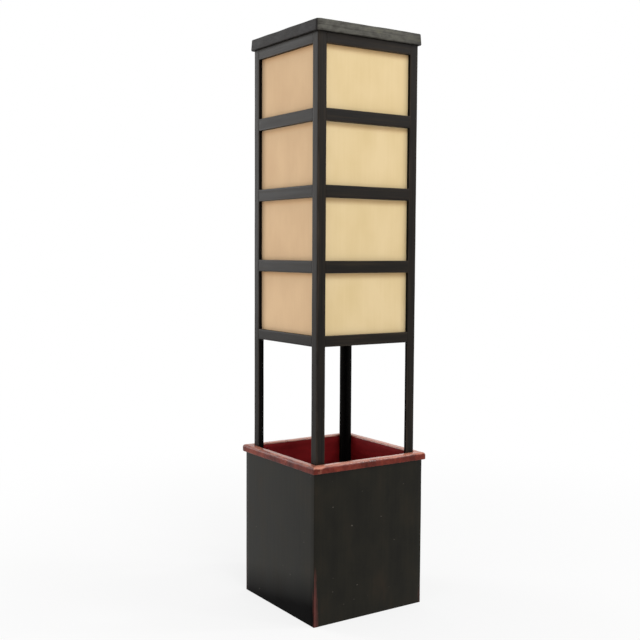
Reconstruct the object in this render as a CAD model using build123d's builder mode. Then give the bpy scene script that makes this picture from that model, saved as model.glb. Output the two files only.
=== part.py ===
from build123d import *
import os
from math import atan2, degrees, tan, radians, sin, cos

# Andon floor lamp: a paper lantern tower whose four posts stand in an open box.
# Millimetres. Origin at the centre of the footprint on the floor, +Z up, front towards -Y.

# ---- Tower ----------------------------------------------------------------
height = 1500.0           # floor to the top of the roof cap
lantern_side = 310.0      # outside of the posts, square in plan
post_side = 25.0
post_arm = 10.0           # thickness of each arm of a post's L-shaped section, and depth of the rails
post_arris = 3.0          # rounding of a post's outer corner
post_arm_ease = 1.5       # rounding of the ends of its arms

# ---- Lattice --------------------------------------------------------------
windows = 4               # paper windows above each other on each side
window_height = 156.0
rail_height = 31.0        # top rail and middle rails
bottom_rail_height = 27.0
rail_ease = 1.0           # rounding of a rail's long outer edges
tenon_length = 10.0
tenon_thickness = 5.0
tenon_shoulder = 4.0      # rail left above and below its tenon
glue_gap = 0.1            # round each tenon in its mortise

# ---- Paper ----------------------------------------------------------------
paper_thickness = 0.5
paper_side_lap = 5.0      # paper glued to the back of each post's arm
paper_top_margin = 2.0    # paper stops this far under the top of the frame

# ---- Roof cap -------------------------------------------------------------
cap_thickness = 24.0
cap_overhang = 9.0        # foot of the cap beyond the posts, on each side
cap_batter = 1.5          # lean of each side inwards from foot to top
cap_corner_radius = 10.0
cap_ease = 2.0            # rounding of the top and bottom edges
seat_gap = 0.3            # lifted-off parts stand this far from what carries them
cleat_width = 12.0
cleat_height = 12.0
cleat_length = 200.0
cleat_side_gap = 0.8      # cleat to the paper beside it
cleat_screw_spacing = 140.0

# ---- Box ------------------------------------------------------------------
box_wall = 16.0
box_wall_height = 392.0
box_arris = 1.5           # rounding of the box's vertical corners
rim_height = 15.0
rim_overhang = 7.0
rim_round = 6.0           # rounding of the rim's outer edges
rim_inner_ease = 2.0
floor_lift = 3.0          # cleats above the ground
floor_cleat_side = 12.0
floor_cleat_gap = 0.3     # end of one cleat to the side of the next
floor_panel_thickness = 12.0
floor_panel_gap = 0.3     # panel to each wall

# ---- Cord outlet in the back wall -------------------------------------------
outlet_height = 70.0
outlet_bore_radius = 4.0
grommet_wall = 3.0
grommet_flange = 3.0      # flange beyond the grommet's body
grommet_flange_thickness = 1.5
grommet_fit = 0.1

# ---- Wood screws --------------------------------------------------------------
screw_radius = 2.0
screw_head_radius = 4.0
screw_head_depth = 2.4
screw_point = 4.0
screw_fit = 0.1           # round each screw in its hole
leg_screw_bite = 11.0     # screw in the box wall
leg_screw_low = 80.0      # heights of a leg's two pairs of screws
leg_screw_high = 340.0
cap_screw_bite = 14.0     # screw in the roof cap

# ---- Lamp bar and lampholder ---------------------------------------------------
bar_width = 28.0
bar_thickness = 14.0
bar_lift = 3.0            # above the underside of the bottom rails
bar_tenon_length = 6.0
bar_tenon_width = 20.0
bar_tenon_thickness = 8.0
bar_paper_gap = 1.0       # paper stops this far above the bar
nipple_radius = 5.0
nipple_bore_radius = 3.5
nipple_below = 7.0        # nipple below the bar
nipple_above = 11.0
nipple_fit = 0.1
locknut_flats = 14.0
locknut_thickness = 4.0
holder_neck_wall = 2.4
holder_neck_height = 8.0
holder_cone_height = 8.0
holder_cup_height = 10.0
holder_cap_wall = 0.8
holder_shell_wall = 0.5
holder_shell_height = 49.0
liner_wall = 0.8
holder_layer_gap = 0.1    # between the nested sleeves
switch_body_height = 25.0
knob_shaft_radius = 2.0
knob_shaft_depth = 6.0    # shaft inside the switch body
knob_shaft_fit = 0.05     # running clearance of the shaft
knob_slot_margin = 1.2    # slot in the sleeves, round the shaft
knob_drop = 7.0           # knob axis below the top of the switch body
knob_radius = 5.5
knob_length = 13.0
knob_gap = 2.0            # knob to the lampholder's cap
knob_flat = 1.6           # each grip flat on the knob
knob_round = 1.0
screw_shell_wall = 0.4
screw_shell_height = 24.0
screw_shell_mouth = 8.0   # radius left open round the centre contact
contact_radius = 4.5
contact_height = 2.0
contact_ease = 0.6

# ---- Bulb ----------------------------------------------------------------------
bulb_cap_radius = 13.1
bulb_thread_gap = 0.3     # cap to the screw shell, all round
bulb_cap_wall = 0.4
bulb_cap_height = 27.0    # foot contact to the top of the cap
bulb_cap_cone_foot = 5.0  # heights of the cone at the foot of the cap
bulb_cap_cone_top = 8.0
bulb_foot_radius = 4.4
bulb_foot_height = 1.4
bulb_pin_radius = 2.0
bulb_pin_height = 6.0
bulb_pin_fit = 0.05
insulator_radius = 10.4
insulator_top = 7.0
insulator_fit = 0.15
glass_wall = 0.8
glass_neck_fit = 0.1
glass_neck_start = 20.0
globe_radius = 30.0
globe_height = 80.0       # foot contact to the middle of the globe
globe_tangent = 35.0      # degrees below the equator where the cone begins

# ---- Worked out from the sizes above --------------------------------------------
half = lantern_side / 2
post_inside = half - post_side            # a post's inner faces, from the axis
post_centre = half - post_side / 2
rail_back = half - post_arm               # back of the rails and of the posts' arms, front of the paper
paper_back = rail_back - paper_thickness
cap_foot = height - cap_thickness
frame_top = cap_foot - seat_gap
rail_pitch = window_height + rail_height
bottom_rail_foot = frame_top - windows * rail_pitch - bottom_rail_height
first_window_foot = bottom_rail_foot + bottom_rail_height
bar_foot = bottom_rail_foot + bar_lift
bar_top = bar_foot + bar_thickness
paper_foot = bar_top + bar_paper_gap
paper_top = frame_top - paper_top_margin
floor_foot = floor_lift + floor_cleat_side
floor_top = floor_foot + floor_panel_thickness
box_half = half + box_wall
rim_half = box_half + rim_overhang
grommet_radius = outlet_bore_radius + grommet_wall
leg_screw_length = post_arm + leg_screw_bite
cap_screw_length = cleat_height + cap_screw_bite
cleat_centre = paper_back - cleat_side_gap - cleat_width / 2

# Underside and height of each rail of one side, from the bottom rail to the top rail.
rail_rows = [(bottom_rail_foot, bottom_rail_height)]
rail_rows += [(first_window_foot + window_height + row * rail_pitch, rail_height) for row in range(windows)]

sides = ["front", "right", "back", "left"]                                  # quarter turns from the front
corners = ["front_left", "front_right", "back_right", "back_left"]          # quarter turns from front left


def save(name, shape):
    """Label one finished piece and write it."""
    shape.label = name
    export_step(shape, f"parts/{name}.step")


def save_turned(name, shape, quarter_turns):
    """Write a copy of a piece made for the front side, turned about the tower's axis."""
    with BuildPart() as turned:
        add(shape, rotation=(0, 0, 90 * quarter_turns))
    save(name, turned.part)


def wood_screw(length, gap=0):
    """A countersunk screw on the Z axis, its head face at z = 0; with a gap, the hole it turns in."""
    with BuildPart() as screw:
        with BuildSketch(Plane.XZ):
            with BuildLine():
                Polyline(
                    (0, 0),
                    (screw_head_radius + gap, 0),
                    (screw_radius + gap, -screw_head_depth),
                    (screw_radius + gap, -length + screw_point),
                    (0, -length - gap),
                    close=True,
                )
            make_face()
        revolve(axis=Axis.Z)
    return screw.part


def mitre_sector(reach):
    """Face of the front quarter of the plan, between the two diagonals."""
    with BuildSketch() as sector:
        with BuildLine():
            Polyline((0, 0), (-reach, -reach), (reach, -reach), close=True)
        make_face()
    return sector.sketch


def leg_screw_places():
    """Head places of the front left post's screws: two through its front arm, two through its left arm."""
    heights = [leg_screw_low, leg_screw_high]
    arm_middle = (post_inside + rail_back) / 2
    places = [Location((-arm_middle, -rail_back, z), (-90, 0, 0)) for z in heights]
    places += [Location((-rail_back, -arm_middle, z), (0, 90, 0)) for z in heights]
    return places


def cleat_screw_places():
    """Head places of one front cleat's screws, which point up into the cap."""
    x = cleat_screw_spacing / 2
    z = cap_foot - cleat_height
    return [Location((s * x, -cleat_centre, z), (180, 0, 0)) for s in (-1, 1)]


os.makedirs("parts", exist_ok=True)

leg_screw = wood_screw(leg_screw_length)
leg_hole = wood_screw(leg_screw_length, screw_fit)
cap_screw = wood_screw(cap_screw_length)
cap_hole = wood_screw(cap_screw_length, screw_fit)

# ---- Posts: one stick each from the box floor to the roof, its inner corner rebated away ----
with BuildPart() as post:
    with BuildSketch(Plane.XY.offset(floor_top)) as post_section:
        with Locations((-post_centre, -post_centre)):
            Rectangle(post_side, post_side)
        with Locations((-post_inside, -post_inside)):
            Rectangle(post_side - post_arm, post_side - post_arm, align=(Align.MAX, Align.MAX), mode=Mode.SUBTRACT)
        fillet(post_section.vertices().sort_by(lambda corner: corner.X + corner.Y)[0], post_arris)
        arm_ends = post_section.vertices().group_by(lambda corner: max(corner.X, corner.Y))[-1]
        fillet(arm_ends, post_arm_ease)
    extrude(amount=frame_top - floor_top)
    # Mortises for the front rails and, turned, for the left rails.
    mortise_width = tenon_thickness + 2 * glue_gap
    mortise_length = tenon_length + glue_gap
    tenon_line = half - post_arm / 2
    for foot, tall in rail_rows:
        z = foot + tall / 2
        mortise_height = tall - 2 * tenon_shoulder + 2 * glue_gap
        with Locations((-post_inside, -tenon_line, z)):
            Box(mortise_length, mortise_width, mortise_height, align=(Align.MAX, Align.CENTER, Align.CENTER),
                mode=Mode.SUBTRACT)
        with Locations((-tenon_line, -post_inside, z)):
            Box(mortise_width, mortise_length, mortise_height, align=(Align.CENTER, Align.MAX, Align.CENTER),
                mode=Mode.SUBTRACT)
    # Holes of the screws that hold the leg to the box.
    with Locations(*leg_screw_places()):
        add(leg_hole, mode=Mode.SUBTRACT)

for turn, corner in enumerate(corners):
    save_turned(f"post_{corner}", post.part, turn)


# ---- Rails: tenoned between the posts, flush with their outer faces ------------------
def make_rail(foot, tall, carries_bar):
    """A front rail with its underside at the given height."""
    middle = foot + tall / 2
    with BuildPart() as rail:
        with Locations((0, -half, middle)):
            Box(2 * post_inside, post_arm, tall, align=(Align.CENTER, Align.MIN, Align.CENTER))
        outer_edges = rail.edges().filter_by(Axis.X).group_by(Axis.Y)[0]
        fillet(outer_edges, rail_ease)
        with Locations((0, -half + post_arm / 2, middle)):
            Box(2 * (post_inside + tenon_length), tenon_thickness, tall - 2 * tenon_shoulder)
        if carries_bar:
            with Locations((0, -rail_back, bar_foot + bar_thickness / 2)):
                Box(bar_tenon_width + 2 * glue_gap, bar_tenon_length + glue_gap, bar_tenon_thickness + 2 * glue_gap,
                    align=(Align.CENTER, Align.MAX, Align.CENTER), mode=Mode.SUBTRACT)
    return rail.part


# Rails are numbered from the top down.
for row, (foot, tall) in enumerate(rail_rows):
    for turn, side in enumerate(sides):
        carries_bar = row == 0 and side in ("left", "right")
        save_turned(f"rail_{side}_{windows + 1 - row}", make_rail(foot, tall, carries_bar), turn)

# ---- Paper: one sheet per side, glued behind the rails and the posts' arms -------------
with BuildPart() as paper:
    with Locations((0, -rail_back, paper_foot)):
        Box(2 * (post_inside + paper_side_lap), paper_thickness, paper_top - paper_foot,
            align=(Align.CENTER, Align.MIN, Align.MIN))

for turn, side in enumerate(sides):
    save_turned(f"paper_{side}", paper.part, turn)

# ---- Roof cap: thick slab, lifted off to reach the bulb --------------------------------
cap_side = lantern_side + 2 * cap_overhang
with BuildPart() as roof_cap:
    with BuildSketch(Plane.XY.offset(cap_foot)):
        RectangleRounded(cap_side, cap_side, cap_corner_radius)
    extrude(amount=cap_thickness, taper=degrees(atan2(cap_batter, cap_thickness)))
    fillet(roof_cap.faces().sort_by(Axis.Z)[-1].edges(), cap_ease)
    fillet(roof_cap.faces().sort_by(Axis.Z)[0].edges(), cap_ease)
    for turn in range(4):
        with Locations(*[Location((0, 0, 0), (0, 0, 90 * turn)) * place for place in cleat_screw_places()]):
            add(cap_hole, mode=Mode.SUBTRACT)
save("roof_cap", roof_cap.part)

# Cleats under the cap, which keep it square over the posts.
with BuildPart() as cap_cleats:
    with PolarLocations(0, 4):
        with Locations((0, -cleat_centre, cap_foot)):
            Box(cleat_length, cleat_width, cleat_height, align=(Align.CENTER, Align.CENTER, Align.MAX))
    for turn in range(4):
        with Locations(*[Location((0, 0, 0), (0, 0, 90 * turn)) * place for place in cleat_screw_places()]):
            add(cap_hole, mode=Mode.SUBTRACT)
save("cap_cleats", cap_cleats.part)

with BuildPart() as cap_cleat_screws:
    for turn in range(4):
        with Locations(*[Location((0, 0, 0), (0, 0, 90 * turn)) * place for place in cleat_screw_places()]):
            add(cap_screw)
save("cap_cleat_screws", cap_cleat_screws.part)

# ---- Box: four mitred walls round the legs -----------------------------------------------
plan_reach = 2 * rim_half
outlet_hole_radius = grommet_radius + grommet_fit


def make_wall(has_outlet):
    """The front wall, or the same wall with the cord outlet's hole."""
    quarter = mitre_sector(plan_reach)
    with BuildPart() as wall:
        with BuildSketch():
            RectangleRounded(2 * box_half, 2 * box_half, box_arris)
            Rectangle(2 * half, 2 * half, mode=Mode.SUBTRACT)
            add(quarter, mode=Mode.INTERSECT)
        extrude(amount=box_wall_height)
        for turn in range(4):
            with Locations(*[Location((0, 0, 0), (0, 0, 90 * turn)) * place for place in leg_screw_places()]):
                add(leg_hole, mode=Mode.SUBTRACT)
        if has_outlet:
            with Locations(Location((0, -half - box_wall / 2, outlet_height), (90, 0, 0))):
                Cylinder(outlet_hole_radius, 2 * box_wall, mode=Mode.SUBTRACT)
    return wall.part


for turn, side in enumerate(sides):
    save_turned(f"box_wall_{side}", make_wall(side == "back"), turn)

# Rim moulding: a rounded, mitred strip on top of each wall.
rim_quarter = mitre_sector(plan_reach)
with BuildPart() as rim:
    with BuildSketch(Plane.YZ.offset(-rim_half)) as rim_profile:
        with Locations((-rim_half, box_wall_height)):
            Rectangle(rim_half - half, rim_height, align=(Align.MIN, Align.MIN))
        fillet(rim_profile.vertices().group_by(Axis.Y)[0], rim_round)
        fillet(rim_profile.vertices().sort_by(lambda v: v.Y + v.Z)[-1], rim_inner_ease)
    extrude(amount=2 * rim_half)
    with BuildSketch():
        add(rim_quarter)
    extrude(amount=2 * box_wall_height, mode=Mode.INTERSECT)

for turn, side in enumerate(sides):
    save_turned(f"box_rim_{side}", rim.part, turn)

# Cleats round the foot of the box, each butting against the next, and the floor panel on them.
with BuildPart() as floor_cleats:
    with PolarLocations(0, 4):
        with Locations((-half, -half, floor_lift)):
            Box(2 * half - floor_cleat_side - floor_cleat_gap, floor_cleat_side, floor_cleat_side,
                align=(Align.MIN, Align.MIN, Align.MIN))
save("floor_cleats", floor_cleats.part)

with BuildPart() as box_floor:
    panel_side = 2 * (half - floor_panel_gap)
    with Locations((0, 0, floor_foot)):
        Box(panel_side, panel_side, floor_panel_thickness, align=(Align.CENTER, Align.CENTER, Align.MIN))
save("box_floor", box_floor.part)

with BuildPart() as leg_screws:
    for turn in range(4):
        with Locations(*[Location((0, 0, 0), (0, 0, 90 * turn)) * place for place in leg_screw_places()]):
            add(leg_screw)
save("leg_screws", leg_screws.part)

# Grommet that lines the cord outlet.
with BuildPart() as cord_grommet:
    back_inside = half
    with Locations(Location((0, back_inside - grommet_flange_thickness, outlet_height), (-90, 0, 0))):
        Cylinder(grommet_radius, box_wall + 2 * grommet_flange_thickness,
                 align=(Align.CENTER, Align.CENTER, Align.MIN))
        Cylinder(grommet_radius + grommet_flange, grommet_flange_thickness,
                 align=(Align.CENTER, Align.CENTER, Align.MIN))
    with Locations(Location((0, back_inside + box_wall, outlet_height), (-90, 0, 0))):
        Cylinder(grommet_radius + grommet_flange, grommet_flange_thickness,
                 align=(Align.CENTER, Align.CENTER, Align.MIN))
    with Locations(Location((0, back_inside + box_wall / 2, outlet_height), (-90, 0, 0))):
        Cylinder(outlet_bore_radius, 2 * box_wall, mode=Mode.SUBTRACT)
save("cord_grommet", cord_grommet.part)

# ---- Lamp bar: tenoned between the left and right bottom rails ----------------------------
with BuildPart() as lamp_bar:
    with Locations((0, 0, bar_foot + bar_thickness / 2)):
        Box(2 * rail_back, bar_width, bar_thickness)
        Box(2 * (rail_back + bar_tenon_length), bar_tenon_width, bar_tenon_thickness)
        Cylinder(nipple_radius + nipple_fit, 2 * bar_thickness, mode=Mode.SUBTRACT)
save("lamp_bar", lamp_bar.part)


# ---- Lampholder: nested sleeves round a switch body, on a threaded nipple -----------------
def tube(foot, length, outer_radius, inner_radius):
    """A plain tube about the tower's axis."""
    with BuildPart() as sleeve:
        with BuildSketch(Plane.XY.offset(foot)):
            Circle(outer_radius)
            Circle(inner_radius, mode=Mode.SUBTRACT)
        extrude(amount=length)
    return sleeve.part


screw_shell_inner = bulb_cap_radius + bulb_thread_gap
switch_body_radius = screw_shell_inner + screw_shell_wall
liner_inner = switch_body_radius + holder_layer_gap
liner_outer = liner_inner + liner_wall
shell_inner = liner_outer + holder_layer_gap
shell_outer = shell_inner + holder_shell_wall
cup_inner = shell_outer + holder_layer_gap
cup_outer = cup_inner + holder_cap_wall
neck_inner = nipple_radius + nipple_fit
neck_outer = neck_inner + holder_neck_wall
cone_foot = bar_top + holder_neck_height
cone_top = cone_foot + holder_cone_height
cup_top = cone_top + holder_cup_height
# Height inside the cone where a sleeve of a given radius comes to rest.
cone_slope = holder_cone_height / (cup_outer - neck_outer)
sleeve_foot = cone_foot + holder_cap_wall + (shell_outer - neck_outer + holder_cap_wall) * cone_slope
body_foot = cone_foot + holder_cap_wall + (switch_body_radius - neck_outer + holder_cap_wall) * cone_slope
body_top = body_foot + switch_body_height
knob_height = body_top - knob_drop
contact_top = body_top + contact_height
bulb_foot = contact_top + seat_gap

save("nipple", tube(bar_foot - nipple_below, nipple_below + bar_thickness + nipple_above,
                    nipple_radius, nipple_bore_radius))

with BuildPart() as locknut:
    with BuildSketch(Plane.XY.offset(bar_foot)):
        RegularPolygon(locknut_flats / 2, 6, major_radius=False)
        Circle(nipple_radius + nipple_fit, mode=Mode.SUBTRACT)
    extrude(amount=-locknut_thickness)
save("locknut", locknut.part)

with BuildPart() as holder_cap:
    with BuildSketch(Plane.XZ):
        with BuildLine():
            Polyline(
                (neck_inner, bar_top),
                (neck_outer, bar_top),
                (neck_outer, cone_foot),
                (cup_outer, cone_top),
                (cup_outer, cup_top),
                (cup_inner, cup_top),
                (cup_inner, cone_top + holder_cap_wall),
                (neck_outer - holder_cap_wall, cone_foot + holder_cap_wall),
                (neck_inner, cone_foot + holder_cap_wall),
                close=True,
            )
        make_face()
    revolve(axis=Axis.Z)
save("holder_cap", holder_cap.part)


def slotted_sleeve(outer_radius, inner_radius, foot, length):
    """A sleeve with the slot that lets the knob's shaft out at the front."""
    plain = tube(foot, length, outer_radius, inner_radius)
    slot_radius = knob_shaft_radius + knob_slot_margin
    with BuildPart() as sleeve:
        add(plain)
        with BuildSketch(Plane.XZ):
            with Locations((0, knob_height)):
                Circle(slot_radius)
            with Locations((0, foot)):
                Rectangle(2 * slot_radius, knob_height - foot, align=(Align.CENTER, Align.MIN))
        extrude(amount=2 * outer_radius, mode=Mode.SUBTRACT)
    return sleeve.part


shell_foot = max(sleeve_foot, cone_top + holder_cap_wall)
save("holder_shell", slotted_sleeve(shell_outer, shell_inner, shell_foot, holder_shell_height))
save("holder_liner", slotted_sleeve(liner_outer, liner_inner, shell_foot, holder_shell_height))

with BuildPart() as switch_body:
    with BuildSketch(Plane.XY.offset(body_foot)):
        Circle(switch_body_radius)
    extrude(amount=switch_body_height)
    with BuildSketch(Plane.XZ):
        with Locations((0, knob_height)):
            Circle(knob_shaft_radius + knob_shaft_fit)
    extrude(amount=2 * switch_body_radius, mode=Mode.SUBTRACT)
save("switch_body", switch_body.part)

# Knob with two grip flats; its shaft runs in the switch body.
knob_back = cup_outer + knob_gap
shaft_inner_end = switch_body_radius - knob_shaft_depth
with BuildPart() as switch_knob:
    with BuildSketch(Plane.XZ.offset(shaft_inner_end)):
        with Locations((0, knob_height)):
            Circle(knob_shaft_radius)
    extrude(amount=knob_back - shaft_inner_end)
    with BuildSketch(Plane.XZ.offset(knob_back)):
        with Locations((0, knob_height)):
            Circle(knob_radius)
            Rectangle(2 * knob_radius, 2 * (knob_radius - knob_flat), mode=Mode.INTERSECT)
    extrude(amount=knob_length)
    fillet(switch_knob.faces().sort_by(Axis.Y)[0].edges(), knob_round)
save("switch_knob", switch_knob.part)

with BuildPart() as screw_shell:
    with BuildSketch(Plane.XY.offset(body_top)):
        Circle(switch_body_radius)
        Circle(screw_shell_inner, mode=Mode.SUBTRACT)
    extrude(amount=screw_shell_height)
    with BuildSketch(Plane.XY.offset(body_top)):
        Circle(switch_body_radius)
        Circle(screw_shell_mouth, mode=Mode.SUBTRACT)
    extrude(amount=screw_shell_wall)
save("screw_shell", screw_shell.part)

with BuildPart() as centre_contact:
    with BuildSketch(Plane.XY.offset(body_top)):
        Circle(contact_radius)
    extrude(amount=contact_height)
    fillet(centre_contact.faces().sort_by(Axis.Z)[-1].edges(), contact_ease)
save("centre_contact", centre_contact.part)

# ---- Bulb: screws out of the lampholder ---------------------------------------------------
with BuildPart() as bulb_contact:
    with BuildSketch(Plane.XY.offset(bulb_foot)):
        Circle(bulb_foot_radius)
    extrude(amount=bulb_foot_height)
    with BuildSketch(Plane.XY.offset(bulb_foot)):
        Circle(bulb_pin_radius)
    extrude(amount=bulb_pin_height)
save("bulb_contact", bulb_contact.part)

with BuildPart() as bulb_insulator:
    insulator_foot = bulb_foot + bulb_foot_height + seat_gap
    with BuildSketch(Plane.XZ):
        with BuildLine():
            Polyline(
                (bulb_pin_radius + bulb_pin_fit, insulator_foot),
                (bulb_foot_radius, insulator_foot),
                (insulator_radius, bulb_foot + bulb_cap_cone_foot),
                (insulator_radius, bulb_foot + insulator_top),
                (bulb_pin_radius + bulb_pin_fit, bulb_foot + insulator_top),
                close=True,
            )
        make_face()
    revolve(axis=Axis.Z)
save("bulb_insulator", bulb_insulator.part)

with BuildPart() as bulb_cap:
    cone_mouth = insulator_radius + insulator_fit
    with BuildSketch(Plane.XZ):
        with BuildLine():
            Polyline(
                (cone_mouth, bulb_foot + bulb_cap_cone_foot),
                (cone_mouth + bulb_cap_wall, bulb_foot + bulb_cap_cone_foot),
                (bulb_cap_radius, bulb_foot + bulb_cap_cone_top),
                (bulb_cap_radius, bulb_foot + bulb_cap_height),
                (bulb_cap_radius - bulb_cap_wall, bulb_foot + bulb_cap_height),
                (bulb_cap_radius - bulb_cap_wall, bulb_foot + bulb_cap_cone_top),
                close=True,
            )
        make_face()
    revolve(axis=Axis.Z)
save("bulb_cap", bulb_cap.part)


def bulb_body(neck_radius, radius, foot):
    """Solid of the bulb's outline: a neck, a cone and a globe that it meets in a tangent."""
    middle = bulb_foot + globe_height
    slope = radians(globe_tangent)
    cone_end = (radius * cos(slope), middle - radius * sin(slope))
    neck_end = (neck_radius, cone_end[1] - (cone_end[0] - neck_radius) / tan(slope))
    with BuildPart() as body:
        with BuildSketch(Plane.XZ):
            with BuildLine():
                Polyline((0, middle + radius), (0, foot), (neck_radius, foot), neck_end, cone_end)
                CenterArc((0, middle), radius, -globe_tangent, 90 + globe_tangent)
            make_face()
        revolve(axis=Axis.Z)
    return body.part


neck_radius = bulb_cap_radius - bulb_cap_wall - glass_neck_fit
outer_body = bulb_body(neck_radius, globe_radius, bulb_foot + glass_neck_start)
inner_body = bulb_body(neck_radius - glass_wall, globe_radius - glass_wall,
                       bulb_foot + glass_neck_start - glass_wall)
with BuildPart() as bulb_glass:
    add(outer_body)
    add(inner_body, mode=Mode.SUBTRACT)
save("bulb_glass", bulb_glass.part)
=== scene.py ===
import bmesh
import bpy
import math
from mathutils import Matrix, Vector, noise


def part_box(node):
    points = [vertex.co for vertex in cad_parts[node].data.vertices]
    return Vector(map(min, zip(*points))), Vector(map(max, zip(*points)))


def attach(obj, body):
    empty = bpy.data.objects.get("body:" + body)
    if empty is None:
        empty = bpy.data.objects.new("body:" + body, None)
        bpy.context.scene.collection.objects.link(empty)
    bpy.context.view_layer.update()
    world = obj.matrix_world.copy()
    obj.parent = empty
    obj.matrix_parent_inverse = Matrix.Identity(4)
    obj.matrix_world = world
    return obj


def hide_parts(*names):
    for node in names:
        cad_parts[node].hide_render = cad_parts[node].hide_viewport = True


# Andon floor lamp: a paper lantern on four posts that stand in an open lacquered box.
# Metres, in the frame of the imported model: +Z up, the front towards -Y.
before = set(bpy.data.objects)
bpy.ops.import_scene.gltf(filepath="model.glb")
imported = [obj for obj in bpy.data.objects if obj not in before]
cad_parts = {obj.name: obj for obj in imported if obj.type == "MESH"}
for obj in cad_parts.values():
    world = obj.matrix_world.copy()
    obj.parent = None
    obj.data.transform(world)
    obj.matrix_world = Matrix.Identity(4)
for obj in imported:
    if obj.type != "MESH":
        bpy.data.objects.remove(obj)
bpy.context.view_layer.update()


# ---- Camera ------------------------------------------------------------------------------------
# Stands off the lamp's front left corner, level with the lowest windows, and looks slightly
# down, so that the inside of the box shows.
camera_azimuth = math.radians(-34.52)
camera_distance = 2.653
camera_height = 0.938
camera_turn = math.radians(0.77)
camera_pitch = math.radians(-3.96)
camera_roll = math.radians(0.30)
camera_lens = 55.77

heading = camera_azimuth + camera_turn
level_right = Vector((math.cos(heading), math.sin(heading), 0))
level_ahead = Vector((-math.sin(heading), math.cos(heading), 0))
ahead = level_ahead * math.cos(camera_pitch) + Vector((0, 0, math.sin(camera_pitch)))
level_up = level_right.cross(ahead)
camera_right = level_right * math.cos(camera_roll) + level_up * math.sin(camera_roll)
camera_up = level_up * math.cos(camera_roll) - level_right * math.sin(camera_roll)
camera_place = Vector((math.sin(camera_azimuth) * camera_distance,
                       -math.cos(camera_azimuth) * camera_distance, camera_height))
camera_data = bpy.data.cameras.new("camera")
camera_data.lens = camera_lens
camera = bpy.data.objects.new("camera", camera_data)
camera_axes = Matrix((camera_right, camera_up, -ahead)).transposed()
camera.matrix_world = Matrix.Translation(camera_place) @ camera_axes.to_4x4()
bpy.context.scene.collection.objects.link(camera)
bpy.context.scene.camera = camera
bpy.context.scene.view_settings.view_transform = "Standard"


# ---- Floor and lights --------------------------------------------------------------------------
# A plain white floor under even white light. A soft lamp stands high in front, two tall weaker
# panels stand where the lantern's front and left sides mirror them, and a small lamp lights
# the rim.
def linear(hex_colour):
    """Linear RGBA of an sRGB colour such as "#a0b0c0"."""
    parts = [int(hex_colour[i:i + 2], 16) / 255 for i in (1, 3, 5)]
    return tuple(p / 12.92 if p <= 0.04045 else ((p + 0.055) / 1.055) ** 2.4 for p in parts) + (1.0,)


def add_node(owner, kind, settings=None, links=None):
    """Add a node with its settings, and join its inputs to other nodes' outputs."""
    made = owner.node_tree.nodes.new(kind)
    for name, value in (settings or {}).items():
        if name == "stops":
            band = made.color_ramp.elements
            band.remove(band[1])
            band[0].position, band[0].color = value[0][0], linear(value[0][1])
            for position, colour in value[1:]:
                band.new(position).color = linear(colour)
        elif isinstance(name, int) or name in made.inputs:
            made.inputs[name].default_value = value
        else:
            setattr(made, name, value)
    for name, source in (links or {}).items():
        owner.node_tree.links.new(source, made.inputs[name])
    return made


def bare(owner):
    """Give a material or world its own nodes, and none yet."""
    owner.use_nodes = True
    owner.node_tree.nodes.clear()
    return owner


def background_rays(owner):
    """1 for the rays that show the surroundings: to the camera, in a reflection, through glass."""
    path = add_node(owner, "ShaderNodeLightPath")
    mirrored = add_node(owner, "ShaderNodeMath", {"operation": "MAXIMUM"},
                        {0: path.outputs["Is Camera Ray"], 1: path.outputs["Is Glossy Ray"]})
    return add_node(owner, "ShaderNodeMath", {"operation": "MAXIMUM"},
                    {0: mirrored.outputs[0], 1: path.outputs["Is Transmission Ray"]}).outputs[0]


ambient_level = 0.56
world = bare(bpy.data.worlds.new("white_surroundings"))
world_level = add_node(world, "ShaderNodeMapRange", {"To Min": ambient_level, "To Max": 1.0},
                       {"Value": background_rays(world)})
world_light = add_node(world, "ShaderNodeBackground", {"Color": (1, 1, 1, 1)},
                       {"Strength": world_level.outputs[0]})
add_node(world, "ShaderNodeOutputWorld", links={"Surface": world_light.outputs[0]})
bpy.context.scene.world = world

floor_half = 20.0
floor_near, floor_far = 0.5, 2.2    # the floor fades between these into the background's white
floor_near_white = 0.76             # share of the near floor's seen white that no shadow reaches
floor_shape = bmesh.new()
bmesh.ops.create_grid(floor_shape, x_segments=1, y_segments=1, size=floor_half)
floor_mesh = bpy.data.meshes.new("studio_floor")
floor_shape.to_mesh(floor_mesh)
floor_shape.free()
studio_floor = bpy.data.objects.new("studio_floor", floor_mesh)
bpy.context.scene.collection.objects.link(studio_floor)

# White painted floor: matt, and as white as the background away from the lamp.
floor_paint = bare(bpy.data.materials.new("white_floor_paint"))
floor_place = add_node(floor_paint, "ShaderNodeTexCoord")
floor_away = add_node(floor_paint, "ShaderNodeVectorMath", {"operation": "LENGTH"},
                      {0: floor_place.outputs["Object"]})
floor_white = add_node(floor_paint, "ShaderNodeMapRange",
                       {"From Min": floor_near, "From Max": floor_far, "To Min": floor_near_white,
                        "interpolation_type": "SMOOTHSTEP"}, {"Value": floor_away.outputs["Value"]})
floor_share = add_node(floor_paint, "ShaderNodeMath", {"operation": "MULTIPLY"},
                       {0: floor_white.outputs[0], 1: background_rays(floor_paint)})
floor_matt = add_node(floor_paint, "ShaderNodeBsdfDiffuse", {"Color": linear("#f6f6f6")})
floor_glow = add_node(floor_paint, "ShaderNodeEmission", {"Color": (1, 1, 1, 1), "Strength": 1.0})
floor_mix = add_node(floor_paint, "ShaderNodeMixShader",
                     links={0: floor_share.outputs[0], 1: floor_matt.outputs[0], 2: floor_glow.outputs[0]})
add_node(floor_paint, "ShaderNodeOutputMaterial", links={"Surface": floor_mix.outputs[0]})
floor_mesh.materials.append(floor_paint)


lantern_middle = Vector((0, 0, 1.05))


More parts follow.
